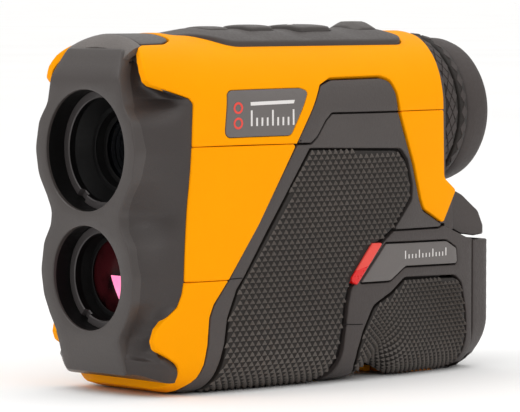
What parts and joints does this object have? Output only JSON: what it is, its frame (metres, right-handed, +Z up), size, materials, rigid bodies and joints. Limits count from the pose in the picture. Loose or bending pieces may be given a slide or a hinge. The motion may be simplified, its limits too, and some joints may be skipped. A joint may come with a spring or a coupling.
{
  "type": "laser rangefinder",
  "caption": "Handheld laser rangefinder with stacked objectives, yellow shell, textured black grips, top keypad, diopter eyepiece and rear battery door.",
  "frame": {"origin": "centre of the footprint, on the surface the housing stands on", "axes": "+Z up, -Y the way the objectives look, +Y towards the eyepiece, +X to the user's right"},
  "size_m": [0.0444, 0.1134, 0.0844],
  "materials": {
    "black_plastic": "fine-grained satin",
    "yellow_plastic": "satin",
    "black_rubber": "matte overmould",
    "button_rubber": "matte",
    "seal_rubber": "matte",
    "grey_plastic": "satin",
    "red_accent": "gloss",
    "orange_plastic": "satin",
    "black_aluminium": "black anodised",
    "steel": "machined",
    "brass": "turned",
    "coated_glass": "coated",
    "clear_glass": "polished",
    "board_green": "solder mask",
    "component_black": "moulded",
    "can_metal": "plated",
    "cell_wrap": "printed film"
  },
  "bodies": {
    "housing": {"accent_strips": "red_accent", "base_foot": "orange_plastic", "battery_cell": "cell_wrap", "battery_contact": "brass", "battery_holder": "black_plastic", "bottom_cover": "yellow_plastic", "display_module": "component_black", "door_hinge_pin": "steel", "erecting_prism": "clear_glass", "eyepiece_barrel": "black_plastic", "eyepiece_lens": "clear_glass", "eyepiece_retainer": "black_plastic", "eyepiece_seal": "seal_rubber", "field_lens": "clear_glass", "front_bezel": "black_plastic", "front_grip_pad_left": "black_rubber", "front_grip_pad_right": "black_rubber", "key_board": "board_green", "keypad_domes": "steel", "keypad_panel": "black_rubber", "laser_barrel": "black_aluminium", "laser_board": "board_green", "laser_diode": "can_metal", "laser_lens": "coated_glass", "laser_retaining_ring": "black_aluminium", "latch_pin": "steel", "latch_spring": "steel", "lens_mount": "black_plastic", "lens_mount_screws": "steel", "main_board": "board_green", "middle_shell": "yellow_plastic", "nameplates": "grey_plastic", "rear_grip_pad_left": "black_rubber", "rear_grip_pad_right": "black_rubber", "rear_housing": "black_plastic", "receiver_barrel": "black_aluminium", "receiver_board": "board_green", "receiver_detector": "can_metal", "receiver_lens": "coated_glass", "receiver_prism": "clear_glass", "receiver_retaining_ring": "black_aluminium", "side_panel_left": "black_rubber", "side_panel_right": "black_rubber", "side_plaques": "grey_plastic", "tilt_sensor": "component_black", "top_cover": "yellow_plastic", "tripod_insert": "brass"},
    "fire_button": {"fire_button": "button_rubber"},
    "up_button": {"up_button": "button_rubber"},
    "down_button": {"down_button": "button_rubber"},
    "power_button": {"power_button": "button_rubber"},
    "diopter_ring": {"diopter_ring": "black_rubber"},
    "eyecup": {"eyecup": "black_rubber", "eyecup_sleeve": "black_plastic"},
    "battery_door": {"battery_door": "black_plastic", "door_contact_plate": "brass", "door_contact_spring": "brass", "door_seal": "seal_rubber"},
    "door_latch": {"door_latch": "black_plastic"}
  },
  "joints": [
    {"name": "fire_press", "type": "slide", "parent": "housing", "child": "fire_button", "axis": [0, 0, -1], "range_m": [0, 0.0008], "stiffness_N_per_m": 1500, "springref_m": -0.0004},
    {"name": "up_press", "type": "slide", "parent": "housing", "child": "up_button", "axis": [0, 0, -1], "range_m": [0, 0.0006], "stiffness_N_per_m": 1800, "springref_m": -0.0004},
    {"name": "down_press", "type": "slide", "parent": "housing", "child": "down_button", "axis": [0, 0, -1], "range_m": [0, 0.0006], "stiffness_N_per_m": 1800, "springref_m": -0.0004},
    {"name": "power_press", "type": "slide", "parent": "housing", "child": "power_button", "axis": [0, 0, -1], "range_m": [0, 0.0006], "stiffness_N_per_m": 1800, "springref_m": -0.0004},
    {"name": "diopter_turn", "type": "hinge", "parent": "housing", "child": "diopter_ring", "pos_m": [0, 0.0443, 0.0625], "axis": [0, 1, 0], "range_deg": [-60, 60]},
    {"name": "eyecup_pull", "type": "slide", "parent": "housing", "child": "eyecup", "axis": [0, 1, 0], "range_m": [0, 0.005]},
    {"name": "door_swing", "type": "hinge", "parent": "housing", "child": "battery_door", "pos_m": [0, 0.0506, 0.0044], "axis": [-1, 0, 0], "range_deg": [0, 80]},
    {"name": "latch_lift", "type": "hinge", "parent": "housing", "child": "door_latch", "pos_m": [0, 0.0446, 0.0384], "axis": [1, 0, 0], "range_deg": [0, 4], "stiffness_Nm_per_rad": 0.3, "springref_deg": -2.86}
  ]
}
